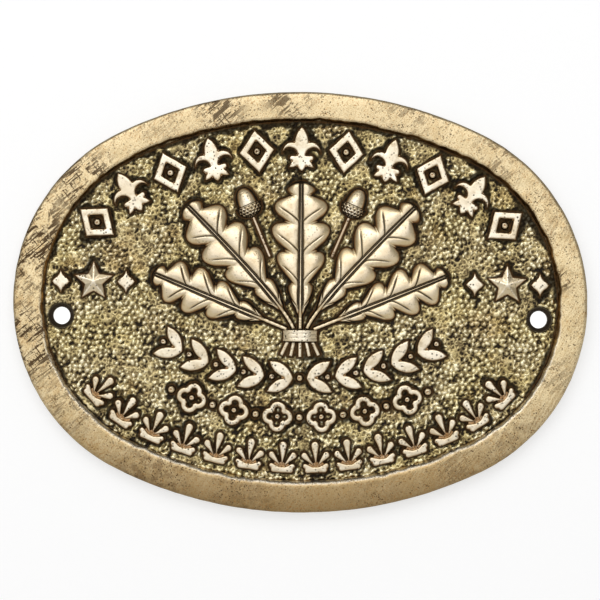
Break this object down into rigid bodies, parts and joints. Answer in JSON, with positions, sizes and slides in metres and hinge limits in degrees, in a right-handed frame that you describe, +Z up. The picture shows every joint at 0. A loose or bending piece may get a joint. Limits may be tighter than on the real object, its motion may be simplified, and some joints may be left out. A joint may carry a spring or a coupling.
{
  "type": "wall plaque",
  "caption": "Oval cast brass wall plaque with a raised rim, a pebbled field, an oak spray in relief, bands of ornament and a countersunk screw hole at each side.",
  "frame": {"origin": "middle of the plaque's flat back, which lies against the wall", "axes": "+X to the right across the plaque's long axis as seen from the front, -Y out of the front, +Z up the wall"},
  "size_m": [0.165, 0.0061, 0.121],
  "materials": {
    "field": "as cast and pebbled, with dark patina in the hollows and worn high spots",
    "rim": "filed flat and waxed, with brown patina in the file marks",
    "raised": "tops rubbed bright and satin, with dark patina round their feet"
  },
  "bodies": {
    "root": {"back_plate": "field", "rim": "rim", "top_band_lilies": "raised", "top_band_lozenges": "raised", "top_band_beads": "raised", "left_star": "raised", "right_star": "raised", "side_lozenges": "raised", "garland_leaves": "raised", "garland_berries": "raised", "quatrefoil_row": "raised", "quatrefoil_beads": "raised", "palmette_row": "raised", "upright_leaf": "raised", "upper_left_leaf": "raised", "upper_right_leaf": "raised", "lower_left_leaf": "raised", "lower_right_leaf": "raised", "acorn_nuts": "raised", "acorn_cups": "raised", "acorn_stalks": "raised", "tie_band": "raised", "stalk_ends": "raised"}
  },
  "joints": []
}
